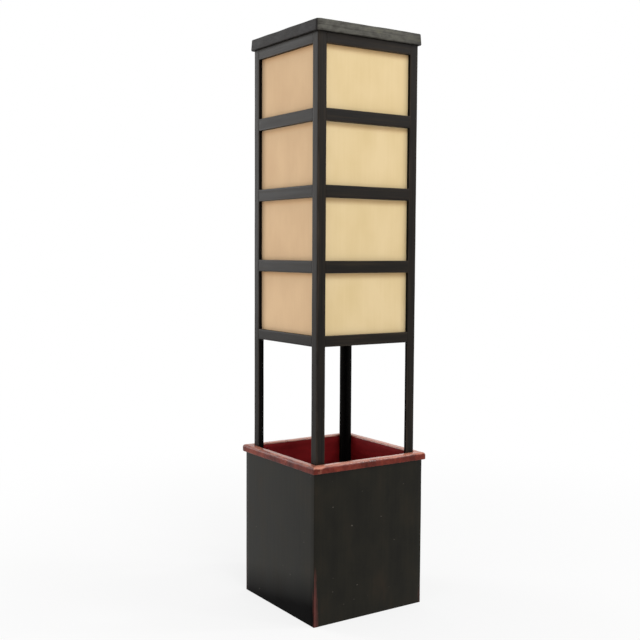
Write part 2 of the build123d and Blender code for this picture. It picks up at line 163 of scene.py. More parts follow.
def soft_lamp(name, azimuth, elevation, distance, width, height, radiance):
    """A rectangular light that faces the lantern, at degrees from the front towards +X and up."""
    a, e = math.radians(azimuth), math.radians(elevation)
    back = Vector((math.sin(a) * math.cos(e), -math.cos(a) * math.cos(e), math.sin(e)))
    light = bpy.data.lights.new(name, "AREA")
    light.shape = "RECTANGLE"
    light.size, light.size_y = width, height
    light.energy = radiance * math.pi * width * height
    lamp = bpy.data.objects.new(name, light)
    lamp.matrix_world = (Matrix.Translation(lantern_middle + back * distance)
                         @ back.to_track_quat("Z", "Y").to_matrix().to_4x4())
    bpy.context.scene.collection.objects.link(lamp)


soft_lamp("key_lamp", -12, 48, 3.4, 1.3, 1.3, 6.8)
soft_lamp("left_panel", 212, 12, 3.2, 1.1, 2.4, 4.0)
soft_lamp("right_panel", 34, 20, 3.2, 0.5, 1.6, 5.0)
soft_lamp("rim_lamp", 56, 38, 3.4, 0.3, 0.7, 30.0)


# ---- Box ---------------------------------------------------------------------------------------
# Four pine boards, mitred at the corners and glued. Black-brown lacquer over a red ground coat
# outside, which shows through where the corners are rubbed; deep red lacquer inside.
mm = 0.001
sides = ["front", "right", "back", "left"]      # each a quarter turn on from the one before
wall_low, wall_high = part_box("box_wall_front")
wall_inside = wall_high.y
wall_corner_round = 1.5 * mm
wall_grid = 12 * mm
wall_corner_band = 20 * mm
wall_worn_height = 170 * mm         # up to which the ground coat shows at the corners
wall_less_worn = 0.55               # of the wear, away from the front wall's left end
wall_waver, wall_waver_size = 0.25 * mm, 70 * mm
# The left wall's dark foot is painted shade: a darker, duller band along the floor.
foot_shade_height = 66 * mm         # of the left wall's dark foot, half way along
foot_shade_slope = 0.17             # it stands higher towards the front
foot_shade_fade = 85 * mm
near = 1 * mm                       # closer than this counts as the same place
hair = 0.01 * mm                    # and where pieces are small, closer than this
sharp_crease = math.radians(38)     # faces that meet at more than this show an edge


def pattern_size(x, y, z):
    """The Mapping scale at which one unit of a pattern is x by y by z millimetres."""
    return (1000 / x, 1000 / y, 1000 / z)


def block(shape, low, high):
    """Start a shape as a block between two corners."""
    bmesh.ops.create_cube(shape, size=1)
    bmesh.ops.scale(shape, vec=high - low, verts=shape.verts)
    bmesh.ops.translate(shape, vec=(low + high) / 2, verts=shape.verts)


def run(edge, axis):
    """How far an edge runs along an axis."""
    return abs(getattr(edge.verts[0].co, axis) - getattr(edge.verts[1].co, axis))


def ease(shape, geom, size, segments, affect="EDGES"):
    """Round off edges, or the corners of a face, and give the new points."""
    return bmesh.ops.bevel(shape, geom=geom, offset=size, offset_type="OFFSET", affect=affect,
                           segments=segments, profile=0.5, material=-1)["verts"]


def cut_at(shape, place, normal, clear_outer=False):
    """Cut a shape at a place, square to a normal, and give what lies on the cut."""
    everything = shape.verts[:] + shape.edges[:] + shape.faces[:]
    return bmesh.ops.bisect_plane(shape, geom=everything, dist=1e-7, plane_co=place, plane_no=normal,
                                  clear_outer=clear_outer)["geom_cut"]


def cut_across(shape, axis, low, high, step):
    """Cut a shape square to an axis, evenly, at about each step between low and high."""
    count = max(1, round((high - low) / step))
    normal = Vector([float(name == axis) for name in "XYZ"])
    for index in range(1, count):
        cut_at(shape, normal * (low + (high - low) * index / count), normal)


def mitre(shape):
    """Cut a front member's two ends along the diagonals, and close them."""
    for sign in (-1, 1):
        cut = cut_at(shape, (0, 0, 0), (sign, 1, 0), clear_outer=True)
        bmesh.ops.edgenet_fill(shape, edges=[e for e in cut if isinstance(e, bmesh.types.BMEdge)])


def turned(shape, quarter_turns):
    """Turn a shape made for the front about the lamp's axis."""
    turn = Matrix.Rotation(math.radians(90 * quarter_turns), 3, "Z")
    bmesh.ops.rotate(shape, cent=(0, 0, 0), matrix=turn, verts=shape.verts)


def handwork(shape, depth, size, kept=None):
    """Move points a little along their normals, as a hand-planed and brushed surface wavers."""
    shape.normal_update()
    for vert in shape.verts:
        if kept is None or not kept(vert.co):
            vert.co += vert.normal * noise.noise(vert.co / size) * depth


def build_piece(name, shape, finishes, body, slot, *nodes):
    """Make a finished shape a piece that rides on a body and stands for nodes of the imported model."""
    bmesh.ops.recalc_face_normals(shape, faces=shape.faces)
    mesh = bpy.data.meshes.new(name)
    shape.to_mesh(mesh)
    shape.free()
    mesh.shade_smooth()
    mesh.set_sharp_from_angle(angle=sharp_crease)
    for finish in finishes:
        mesh.materials.append(finish)
    piece = bpy.data.objects.new(name, mesh)
    bpy.context.scene.collection.objects.link(piece)
    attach(piece, body)
    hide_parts(*nodes)
    return piece


# Black-brown lacquer brushed over red on upright grain: a soft satin that shows the grain
# faintly, with small pale scuffs, and red lines where the corners are rubbed. The foot of the
# left wall is painted darker and made less glossy: painted shade.
box_black = bare(bpy.data.materials.new("black_lacquer_over_red"))
place = add_node(box_black, "ShaderNodeTexCoord").outputs["Object"]
grain_place = add_node(box_black, "ShaderNodeMapping", {"Scale": pattern_size(8, 8, 170)},
                       {"Vector": place})
grain = add_node(box_black, "ShaderNodeTexNoise", {"Scale": 1.0, "Detail": 4.0},
                 {"Vector": grain_place.outputs[0]})
cloud_place = add_node(box_black, "ShaderNodeMapping", {"Scale": pattern_size(60, 60, 100)},
                       {"Vector": place})
clouds = add_node(box_black, "ShaderNodeTexNoise", {"Scale": 1.0, "Detail": 3.0},
                  {"Vector": cloud_place.outputs[0]})
tone = add_node(box_black, "ShaderNodeMix", {"Factor": 0.72},
                {"A": grain.outputs["Fac"], "B": clouds.outputs["Fac"]})
black = add_node(box_black, "ShaderNodeValToRGB",
                 {"stops": [(0.36, "#121009"), (0.50, "#18160e"), (0.62, "#1e1a11"), (0.72, "#261e14")]},
                 {"Fac": tone.outputs[0]})
# Painted shade: the foot mask darkens the colour and lowers the gloss.
foot = add_node(box_black, "ShaderNodeAttribute", {"attribute_name": "foot"})
foot_shaded = add_node(box_black, "ShaderNodeMixRGB", {"Color2": linear("#070606")},
                  {"Fac": foot.outputs["Fac"], "Color1": black.outputs["Color"]})
dulled = add_node(box_black, "ShaderNodeMapRange", {"To Min": 0.135, "To Max": 0.015},
                  {"Value": foot.outputs["Fac"]})
scuff_place = add_node(box_black, "ShaderNodeMapping",
                       {"Scale": pattern_size(15, 15, 7), "Location": (3.1, 7.7, 1.3)},
                       {"Vector": place})
scuffs = add_node(box_black, "ShaderNodeTexNoise", {"Scale": 1.0, "Detail": 1.0},
                  {"Vector": scuff_place.outputs[0]})
scuffed = add_node(box_black, "ShaderNodeMapRange", {"From Min": 0.785, "From Max": 0.82, "To Max": 0.5},
                   {"Value": scuffs.outputs["Fac"]})
marked = add_node(box_black, "ShaderNodeMixRGB", {"Color2": linear("#6d675f")},
                  {"Fac": scuffed.outputs[0], "Color1": foot_shaded.outputs["Color"]})
rub = add_node(box_black, "ShaderNodeAttribute", {"attribute_name": "rub"})
patch_place = add_node(box_black, "ShaderNodeMapping", {"Scale": pattern_size(9, 9, 60)}, {"Vector": place})
patches = add_node(box_black, "ShaderNodeTexNoise", {"Scale": 1.0, "Detail": 5.0, "Roughness": 0.6},
                   {"Vector": patch_place.outputs[0]})
red_shows = add_node(box_black, "ShaderNodeMath", {"operation": "ADD"},
                     {0: rub.outputs["Fac"], 1: patches.outputs["Fac"]})
red_line = add_node(box_black, "ShaderNodeMapRange", {"From Min": 0.85, "From Max": 1.3},
                    {"Value": red_shows.outputs[0]})
lacquered = add_node(box_black, "ShaderNodeMixRGB", {"Color2": linear("#5e332e")},
                     {"Fac": red_line.outputs[0], "Color1": marked.outputs["Color"]})
sheen = add_node(box_black, "ShaderNodeMapRange",
                 {"From Min": 0.3, "From Max": 0.7, "To Min": 0.30, "To Max": 0.42},
                 {"Value": clouds.outputs["Fac"]})
relief = add_node(box_black, "ShaderNodeBump", {"Strength": 1.0, "Distance": 0.08 * mm},
                  {"Height": grain.outputs["Fac"]})
skin = add_node(box_black, "ShaderNodeBsdfPrincipled", None,
                {"Base Color": lacquered.outputs["Color"], "Roughness": sheen.outputs[0],
                 "Specular IOR Level": dulled.outputs[0], "Normal": relief.outputs[0]})
add_node(box_black, "ShaderNodeOutputMaterial", links={"Surface": skin.outputs[0]})

# Red lacquer brushed on inside: one deep colour with soft lap marks, less shiny than outside.
box_red = bare(bpy.data.materials.new("deep_red_lacquer"))
place = add_node(box_red, "ShaderNodeTexCoord").outputs["Object"]
lap_place = add_node(box_red, "ShaderNodeMapping", {"Scale": pattern_size(70, 70, 14)}, {"Vector": place})
laps = add_node(box_red, "ShaderNodeTexNoise", {"Scale": 1.0, "Detail": 3.0},
                {"Vector": lap_place.outputs[0]})
red = add_node(box_red, "ShaderNodeValToRGB", {"stops": [(0.3, "#761518"), (0.7, "#8c1d20")]},
               {"Fac": laps.outputs["Fac"]})
relief = add_node(box_red, "ShaderNodeBump", {"Strength": 1.0, "Distance": 0.1 * mm},
                  {"Height": laps.outputs["Fac"]})
skin = add_node(box_red, "ShaderNodeBsdfPrincipled", {"Roughness": 0.5, "Specular IOR Level": 0.12},
                {"Base Color": red.outputs["Color"], "Normal": relief.outputs[0]})
add_node(box_red, "ShaderNodeOutputMaterial", links={"Surface": skin.outputs[0]})

for turn, side in enumerate(sides):
    wall = bmesh.new()
    rub = wall.verts.layers.float.new("rub")
    foot = wall.verts.layers.float.new("foot")
    block(wall, wall_low, wall_high)
    upright_corners = [e for e in wall.edges if run(e, "z") > near
                       and all(v.co.y < wall_inside - near for v in e.verts)]
    ease(wall, upright_corners, wall_corner_round, 4)
    band_edge = wall_high.x - wall_corner_band
    for x in (-band_edge, band_edge):
        cut_at(wall, (x, 0, 0), (1, 0, 0))
    cut_across(wall, "X", -band_edge, band_edge, wall_grid)
    cut_across(wall, "Z", wall_low.z, wall_high.z, wall_grid)
    mitre(wall)
    for vert in wall.verts:
        if abs(vert.co.x) > band_edge + near and vert.co.y < wall_inside - near:
            worn = max(0.0, 1 - vert.co.z / wall_worn_height) ** 0.5
            vert[rub] = worn if side == "front" and vert.co.x < 0 else wall_less_worn * worn
        # Painted shade on the left wall's foot, higher towards the front.
        if side == "left":
            shade_top = foot_shade_height + foot_shade_slope * vert.co.x
            vert[foot] = min(1.0, max(0.0, 0.5 + (shade_top - vert.co.z) / foot_shade_fade))
    for face in wall.faces:
        face.material_index = int(all(abs(v.co.y - wall_inside) < near for v in face.verts))
    turned(wall, turn)
    handwork(wall, wall_waver, wall_waver_size, lambda p: p.z < near or p.z > wall_high.z - near)
    build_piece(f"lacquered_wall_{side}", wall, [box_black, box_red], "tower", "box_lacquer",
                f"box_wall_{side}")


# ---- Rim ---------------------------------------------------------------------------------------
# A pine moulding with eased edges, mitred round the top of the box, with a lip that laps the
# walls' outer faces. Red-brown lacquer, brushed thin, rubbed and painted pale along its upper edge
# (partly wear, partly painted highlight); its inner face is painted with the inside of the box.
rim_low, rim_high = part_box("box_rim_front")
rim_lip = 4 * mm
rim_shoulder = 8 * mm
rim_lip_round = 2.5 * mm
rim_inner_round = 4 * mm
rim_grid = 7 * mm
rim_waver, rim_waver_size = 0.5 * mm, 35 * mm
# The top of each moulding is painted pale: partly wear, partly painted highlight; the left one gets less.
rim_rub, rim_top_wear_and_highlight, left_top_wear_and_highlight = 0.6, 0.9, 0.65         # the left moulding is less worn
rim_polish, rim_top_polish, left_top_polish = 0.15, 0.85, 0.2
rim_handled = 1.6                   # the larger, the nearer to its ends hands polished it
rim_corner_wear, rim_corner_reach = 0.8 * mm, 7 * mm
rim_corner_rub, rim_corner_most_rub = 0.3, 1.3
rim_worn_rub, rim_worn_reach = 0.45, 38 * mm    # on the front moulding from its left end

# Thin red-brown lacquer, polished by hands on top, most of all halfway along, and satin on the
# outer face, with dark places between; the top is painted rosy tan, partly worn wood and partly painted
# highlight.
rim_red = bare(bpy.data.materials.new("thin_red_brown_lacquer"))
place = add_node(rim_red, "ShaderNodeTexCoord").outputs["Object"]
cloud_place = add_node(rim_red, "ShaderNodeMapping", {"Scale": pattern_size(40, 40, 40)}, {"Vector": place})
clouds = add_node(rim_red, "ShaderNodeTexNoise", {"Scale": 1.0, "Detail": 4.0, "Roughness": 0.6},
                  {"Vector": cloud_place.outputs[0]})
red = add_node(rim_red, "ShaderNodeValToRGB",
               {"stops": [(0.3, "#46170f"), (0.5, "#6b281d"), (0.7, "#8b3d2a")]},
               {"Fac": clouds.outputs["Fac"]})
rub = add_node(rim_red, "ShaderNodeAttribute", {"attribute_name": "rub"})
patch_place = add_node(rim_red, "ShaderNodeMapping", {"Scale": pattern_size(26, 26, 26)}, {"Vector": place})
patches = add_node(rim_red, "ShaderNodeTexNoise", {"Scale": 1.0, "Detail": 5.0, "Roughness": 0.65},
                   {"Vector": patch_place.outputs[0]})
wood_shows = add_node(rim_red, "ShaderNodeMath", {"operation": "ADD"},
                      {0: rub.outputs["Fac"], 1: patches.outputs["Fac"]})
# The pale rosy tan this mask brings is partly worn wood and partly painted highlight.
worn = add_node(rim_red, "ShaderNodeMapRange", {"From Min": 1.5, "From Max": 1.95},
                {"Value": wood_shows.outputs[0]})
lacquered = add_node(rim_red, "ShaderNodeMixRGB", {"Color2": linear("#c9826a")},
                     {"Fac": worn.outputs[0], "Color1": red.outputs["Color"]})
sheen = add_node(rim_red, "ShaderNodeMapRange",
                 {"From Min": 0.3, "From Max": 0.7, "To Min": 0.24, "To Max": 0.36},
                 {"Value": patches.outputs["Fac"]})
relief = add_node(rim_red, "ShaderNodeBump", {"Strength": 1.0, "Distance": 0.15 * mm},
                  {"Height": clouds.outputs["Fac"]})
ridge = add_node(rim_red, "ShaderNodeAttribute", {"attribute_name": "ridge"})
polish = add_node(rim_red, "ShaderNodeMapRange", {"To Min": 0.0, "To Max": 0.9},
                  {"Value": ridge.outputs["Fac"]})
skin = add_node(rim_red, "ShaderNodeBsdfPrincipled", None,
                {"Base Color": lacquered.outputs["Color"], "Roughness": sheen.outputs[0],
                 "Specular IOR Level": polish.outputs[0], "Normal": relief.outputs[0]})
add_node(rim_red, "ShaderNodeOutputMaterial", links={"Surface": skin.outputs[0]})


def points_in(geom):
    """The points among an operator's results."""
    return [part for part in geom if isinstance(part, bmesh.types.BMVert)]


for turn, side in enumerate(sides):
    rim = bmesh.new()
    rub = rim.verts.layers.float.new("rub")
    ridge = rim.verts.layers.float.new("ridge")
    block(rim, rim_low, rim_high)
    cut_at(rim, wall_low, (0, 1, 0))
    lip = [f for f in rim.faces
           if all(v.co.z < rim_low.z + near and v.co.y < wall_low.y + near for v in f.verts)]
    drawn = bmesh.ops.extrude_face_region(rim, geom=lip)["geom"]
    bmesh.ops.delete(rim, geom=lip, context="FACES_ONLY")
    bmesh.ops.translate(rim, vec=(0, 0, -rim_lip), verts=points_in(drawn))
    long_edges = [e for e in rim.edges if run(e, "x") > near]
    outer = [e for e in long_edges if e.verts[0].co.y < rim_low.y + near]
    shoulder = [e for e in outer if e.verts[0].co.z > rim_high.z - near]
    lip_edge = [e for e in outer if e.verts[0].co.z < rim_low.z - near]
    inner = [e for e in long_edges
             if e.verts[0].co.y > rim_high.y - near and e.verts[0].co.z > rim_high.z - near]
    bmesh.ops.dissolve_edges(rim, edges=[e for e in outer if e not in shoulder + lip_edge], use_verts=True)
    ease(rim, shoulder, rim_shoulder, 8)
    ease(rim, lip_edge, rim_lip_round, 4)
    ease(rim, inner, rim_inner_round, 4)
    cut_across(rim, "X", rim_low.x, rim_high.x, rim_grid)
    mitre(rim)
    top_wear_and_highlight, top_polish = rim_top_wear_and_highlight, rim_top_polish
    if side == "left":
        top_wear_and_highlight, top_polish = left_top_wear_and_highlight, left_top_polish
    for vert in rim.verts:
        on_top = max(0.0, 1 - (rim_high.z - vert.co.z) / rim_shoulder)
        handled = min(1.0, rim_handled * math.cos(math.pi * vert.co.x / (rim_high.x - rim_low.x)))
        # Painted highlight and wear on the top.
        vert[rub] = rim_rub + top_wear_and_highlight * on_top
        vert[ridge] = rim_polish + top_polish * handled * on_top ** 2
        tip = Vector((math.copysign(rim_high.x, vert.co.x), rim_low.y))
        away = (vert.co.xy - tip).length
        if away < rim_corner_reach:
            at_tip = 1 - away / rim_corner_reach
            vert.co.xy -= tip.normalized() * rim_corner_wear * at_tip ** 2
            vert[rub] = min(rim_corner_most_rub, vert[rub] + rim_corner_rub * at_tip)
        from_left = vert.co.x - rim_low.x
        if side == "front" and from_left < rim_worn_reach and vert.co.y < rim_low.y + rim_shoulder:
            vert[rub] += rim_worn_rub * math.sin(math.pi * from_left / rim_worn_reach)
    for face in rim.faces:
        face.material_index = int(all(abs(v.co.y - rim_high.y) < hair for v in face.verts))
    turned(rim, turn)
    handwork(rim, rim_waver, rim_waver_size, lambda p: p.z < rim_low.z + hair)
    build_piece(f"lacquered_rim_{side}", rim, [rim_red, box_red], "tower", "rim_lacquer",
                f"box_rim_{side}")


# ---- Box floor, its cleats and the screws of the legs ------------------------------------------
# A board that lies on four cleats inside the walls, lacquered red above like them. The legs
# are held to the walls by plated wood screws through their arms.
def finish_node(node, finish):
    """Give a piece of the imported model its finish."""
    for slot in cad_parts[node].material_slots:
        slot.material = finish


# Planed pine left bare: straw brown with darker growth lines, quite matt.
bare_pine = bare(bpy.data.materials.new("planed_pine"))
place = add_node(bare_pine, "ShaderNodeTexCoord").outputs["Object"]
line_place = add_node(bare_pine, "ShaderNodeMapping", {"Scale": pattern_size(110, 110, 5)},
                      {"Vector": place})
lines = add_node(bare_pine, "ShaderNodeTexNoise", {"Scale": 1.0, "Detail": 4.0},
                 {"Vector": line_place.outputs[0]})
straw = add_node(bare_pine, "ShaderNodeValToRGB",
                 {"stops": [(0.3, "#b58f62"), (0.5, "#c9a577"), (0.7, "#a67f52")]},
                 {"Fac": lines.outputs["Fac"]})
relief = add_node(bare_pine, "ShaderNodeBump", {"Strength": 1.0, "Distance": 0.08 * mm},
                  {"Height": lines.outputs["Fac"]})
skin = add_node(bare_pine, "ShaderNodeBsdfPrincipled", {"Roughness": 0.65},
                {"Base Color": straw.outputs["Color"], "Normal": relief.outputs[0]})
add_node(bare_pine, "ShaderNodeOutputMaterial", links={"Surface": skin.outputs[0]})


def bright_metal(name, mark_size, detail, dark, pale, smooth, rough):
    """A metal's bare skin: marks of the given size, in millimetres, that change its tone and gloss."""
    finish = bare(bpy.data.materials.new(name))
    place = add_node(finish, "ShaderNodeTexCoord").outputs["Object"]
    mark_place = add_node(finish, "ShaderNodeMapping", {"Scale": pattern_size(*mark_size)},
                          {"Vector": place})
    marks = add_node(finish, "ShaderNodeTexNoise", {"Scale": 1.0, "Detail": detail},
                     {"Vector": mark_place.outputs[0]})
    tone = add_node(finish, "ShaderNodeValToRGB", {"stops": [(0.3, dark), (0.7, pale)]},
                    {"Fac": marks.outputs["Fac"]})
    sheen = add_node(finish, "ShaderNodeMapRange",
                     {"From Min": 0.3, "From Max": 0.7, "To Min": smooth, "To Max": rough},
                     {"Value": marks.outputs["Fac"]})
    skin = add_node(finish, "ShaderNodeBsdfPrincipled", {"Metallic": 1.0},
                    {"Base Color": tone.outputs["Color"], "Roughness": sheen.outputs[0]})
    add_node(finish, "ShaderNodeOutputMaterial", links={"Surface": skin.outputs[0]})
    return finish


# Zinc plate on steel: grey metal with a faint yellow stain and a soft gloss.
plated_steel = bright_metal("zinc_plated_steel", (3, 3, 3), 3.0, "#a79f88", "#c8c2ae", 0.3, 0.45)

screw_head_radius = 4 * mm
screw_head_depth = 2.4 * mm
screw_radius = 2 * mm
screw_point = 4 * mm
screw_slot_width = 0.9 * mm
screw_slot_length = 6.4 * mm
screw_slot_depth = 0.9 * mm
screw_slot_draft = 0.05 * mm
leg_screw_heights = [80 * mm, 340 * mm]
leg_screw_length = 21 * mm


def spun(outline, steps):
    """Spin an outline of (radius, height) points about the Z axis, and close it."""
    shape = bmesh.new()
    points = [shape.verts.new((radius, 0, height)) for radius, height in outline]
    lines = [shape.edges.new(pair) for pair in zip(points, points[1:])]
    if outline[0][0] > 0:
        lines.append(shape.edges.new((points[-1], points[0])))
    bmesh.ops.spin(shape, geom=points + lines, cent=(0, 0, 0), axis=(0, 0, 1), angle=2 * math.pi,
                   steps=steps, use_merge=True)
    bmesh.ops.remove_doubles(shape, verts=shape.verts, dist=1e-6)
    return shape


def slotted_screws(length, places):
    """Countersunk wood screws with a slotted head, one with its head's face at each place."""
    shape = spun([(0, 0), (screw_head_radius, 0), (screw_radius, -screw_head_depth),
                  (screw_radius, screw_point - length), (0, -length)], steps=20)
    half_width, half_length = screw_slot_width / 2, screw_slot_length / 2
    for half, normal in ((half_width, Vector((1, 0, 0))), (half_length, Vector((0, 1, 0)))):
        for sign in (-1, 1):
            cut_at(shape, normal * sign * half, normal)
    slot = [f for f in shape.faces
            if all(v.co.z > -hair and abs(v.co.x) < half_width + hair and abs(v.co.y) < half_length + hair
                   for v in f.verts)]
    shape.normal_update()
    bmesh.ops.inset_region(shape, faces=slot, thickness=screw_slot_draft, depth=-screw_slot_depth)
    first = shape.verts[:] + shape.edges[:] + shape.faces[:]
    for place in places:
        copied = bmesh.ops.duplicate(shape, geom=first)["geom"]
        bmesh.ops.transform(shape, matrix=place, verts=points_in(copied))
    bmesh.ops.delete(shape, geom=points_in(first), context="VERTS")
    return shape


leg_screw_places = []
arm_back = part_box("rail_front_2")[1].y
arm_middle = (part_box("post_front_left")[1].x + arm_back) / 2
for turn in range(4):
    for height in leg_screw_heights:
        for row, (x, y, heading) in enumerate([(arm_middle, arm_back, (0, 1, 0)),
                                               (arm_back, arm_middle, (1, 0, 0))]):
            slot_angle = 37 * row + 61 * turn + 900 * height        # each slot stops where it stops
            leg_screw_places.append(Matrix.Rotation(math.radians(90 * turn), 4, "Z")
                                    @ Matrix.Translation((x, y, height))
                                    @ Vector(heading).to_track_quat("Z", "Y").to_matrix().to_4x4()
                                    @ Matrix.Rotation(math.radians(slot_angle), 4, "Z"))

finish_node("box_floor", box_red)
finish_node("floor_cleats", bare_pine)
build_piece("slotted_leg_screws", slotted_screws(leg_screw_length, leg_screw_places), [plated_steel],
            "tower", "screw_steel", "leg_screws")


# ---- Posts -------------------------------------------------------------------------------------
# Four sticks of cedar, rebated to an L and stained black, then wiped with lacquer. They run
# from the box floor up to the roof, and their arrises are rubbed to a dull brown.
def black_wood(name, grain_size, patch_size):
    """Black stain under a thin wipe of lacquer on straight-grained cedar: near black, with a low
    sheen that breaks up along the grain, and brown-grey where an arris is rubbed."""
    finish = bare(bpy.data.materials.new(name))
    place = add_node(finish, "ShaderNodeTexCoord").outputs["Object"]
    grain_place = add_node(finish, "ShaderNodeMapping", {"Scale": pattern_size(*grain_size)},
                           {"Vector": place})
    grain = add_node(finish, "ShaderNodeTexNoise", {"Scale": 1.0, "Detail": 4.0, "Roughness": 0.6},
                     {"Vector": grain_place.outputs[0]})
    patch_place = add_node(finish, "ShaderNodeMapping", {"Scale": pattern_size(*patch_size)},
                           {"Vector": place})
    patches = add_node(finish, "ShaderNodeTexNoise", {"Scale": 1.0, "Detail": 4.0, "Roughness": 0.6},
                       {"Vector": patch_place.outputs[0]})
    tone = add_node(finish, "ShaderNodeMix", {"Factor": 0.4},
                    {"A": grain.outputs["Fac"], "B": patches.outputs["Fac"]})
    black = add_node(finish, "ShaderNodeValToRGB",
                     {"stops": [(0.38, "#110e0b"), (0.52, "#1b1611"), (0.68, "#292219")]},
                     {"Fac": tone.outputs[0]})
    rub = add_node(finish, "ShaderNodeAttribute", {"attribute_name": "rub"})
    wood_shows = add_node(finish, "ShaderNodeMath", {"operation": "ADD"},
                          {0: rub.outputs["Fac"], 1: patches.outputs["Fac"]})
    worn = add_node(finish, "ShaderNodeMapRange", {"From Min": 1.35, "From Max": 1.75, "To Max": 0.8},
                    {"Value": wood_shows.outputs[0]})
    stained = add_node(finish, "ShaderNodeMixRGB", {"Color2": linear("#40372f")},
                       {"Fac": worn.outputs[0], "Color1": black.outputs["Color"]})
    sheen = add_node(finish, "ShaderNodeMapRange",
                     {"From Min": 0.3, "From Max": 0.7, "To Min": 0.36, "To Max": 0.5},
                     {"Value": grain.outputs["Fac"]})
    relief = add_node(finish, "ShaderNodeBump", {"Strength": 1.0, "Distance": 0.08 * mm},
                      {"Height": grain.outputs["Fac"]})
    skin = add_node(finish, "ShaderNodeBsdfPrincipled", {"Specular IOR Level": 0.12},
                    {"Base Color": stained.outputs["Color"], "Roughness": sheen.outputs[0],
                     "Normal": relief.outputs[0]})
    add_node(finish, "ShaderNodeOutputMaterial", links={"Surface": skin.outputs[0]})
    return finish


post_low, post_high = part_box("post_front_left")
post_side = post_high.x - post_low.x
post_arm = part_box("rail_front_2")[1].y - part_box("rail_front_2")[0].y
post_corner_round = 3 * mm
post_arm_round = 1.5 * mm
post_flat = 6 * mm                  # a side of the section that is longer than this is flat
post_grid = 16 * mm
post_waver, post_waver_size = 0.22 * mm, 60 * mm
upright_wood = black_wood("black_stained_cedar_upright", (3.2, 3.2, 220), (12, 12, 120))

# The rebates: painted shade, dead black with little gloss and fuzzy cross grain.
rebate_shade = bare(bpy.data.materials.new("rebate_painted_shade"))
place = add_node(rebate_shade, "ShaderNodeTexCoord").outputs["Object"]
fuzz_place = add_node(rebate_shade, "ShaderNodeMapping", {"Scale": pattern_size(2, 2, 30)},
                      {"Vector": place})
fuzz = add_node(rebate_shade, "ShaderNodeTexNoise", {"Scale": 1.0, "Detail": 4.0},
                {"Vector": fuzz_place.outputs[0]})
shade_black = add_node(rebate_shade, "ShaderNodeValToRGB", {"stops": [(0.3, "#070606"), (0.7, "#110f0d")]},
                      {"Fac": fuzz.outputs["Fac"]})
skin = add_node(rebate_shade, "ShaderNodeBsdfPrincipled", {"Roughness": 0.8, "Specular IOR Level": 0.06},
                {"Base Color": shade_black.outputs["Color"]})
add_node(rebate_shade, "ShaderNodeOutputMaterial", links={"Surface": skin.outputs[0]})

for turn, corner in enumerate(["front_left", "front_right", "back_right", "back_left"]):
    post = bmesh.new()
    rub = post.verts.layers.float.new("rub")
    section = [(0, 0), (post_side, 0), (post_side, post_arm), (post_arm, post_arm), (post_arm, post_side),
               (0, post_side)]
    section = [post.verts.new(post_low + Vector((u, v, 0))) for u, v in section]
    arm_ends = [section[1], section[2], section[4], section[5]]
    post.faces.new(section)
    rounded = (ease(post, [section[0]], post_corner_round, 5, "VERTICES")
               + ease(post, arm_ends, post_arm_round, 3, "VERTICES"))
    for vert in rounded:
        vert[rub] = 1.0
    flats = [e for e in post.edges if e.calc_length() > post_flat]
    for vert in points_in(bmesh.ops.subdivide_edges(post, edges=flats, cuts=3)["geom_inner"]):
        vert[rub] = 0.0
    drawn = bmesh.ops.extrude_face_region(post, geom=post.faces[:])["geom"]
    bmesh.ops.translate(post, vec=(0, 0, post_high.z - post_low.z), verts=points_in(drawn))
    cut_across(post, "Z", post_low.z, post_high.z, post_grid)
    bmesh.ops.recalc_face_normals(post, faces=post.faces)
    for face in post.faces:
        # Faces that look inwards, the rebates, take the painted shade.
        face.material_index = int(face.normal.x + face.normal.y > 0.9)
    turned(post, turn)
    handwork(post, post_waver, post_waver_size)
    build_piece(f"stained_post_{corner}", post, [upright_wood, rebate_shade], "tower", "frame_lacquer",
                f"post_{corner}")


# ---- Rails -------------------------------------------------------------------------------------
# Flat cedar rails between the posts, flush with their outer faces and tenoned into them. Their
# long outer edges are eased, and they are stained with the posts.
rail_edge_round = 1 * mm
rail_grid, rail_height_grid = 13 * mm, 6 * mm
rail_rub_reach = 2 * mm             # from the eased edges
rail_waver, rail_waver_size = 0.2 * mm, 50 * mm
rail_end = abs(post_low.x) - post_side
crosswise_wood = black_wood("black_stained_cedar_crosswise", (220, 3.2, 3.2), (120, 12, 12))
lengthwise_wood = black_wood("black_stained_cedar_lengthwise", (3.2, 220, 3.2), (12, 120, 12))

for row in range(1, 6):
    rail_low, rail_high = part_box(f"rail_front_{row}")
    for turn, side in enumerate(sides):
        rail = bmesh.new()
        rub = rail.verts.layers.float.new("rub")
        block(rail, Vector((-rail_end, *rail_low.yz)), Vector((rail_end, *rail_high.yz)))
        long_edges = [e for e in rail.edges
                      if run(e, "x") > near and e.verts[0].co.y < rail_high.y - near]
        for vert in ease(rail, long_edges, rail_edge_round, 3):
            vert[rub] = 1.0
        cut_across(rail, "Z", rail_low.z, rail_high.z, rail_height_grid)
        cut_across(rail, "X", -rail_end, rail_end, rail_grid)
        for vert in rail.verts:
            if rail_low.z + rail_rub_reach < vert.co.z < rail_high.z - rail_rub_reach:
                vert[rub] = 0.0
        turned(rail, turn)
        handwork(rail, rail_waver, rail_waver_size)
        wood = crosswise_wood if side in ("front", "back") else lengthwise_wood
        build_piece(f"stained_rail_{side}_{row}", rail, [wood], "tower", "frame_lacquer",
                    f"rail_{side}_{row}")
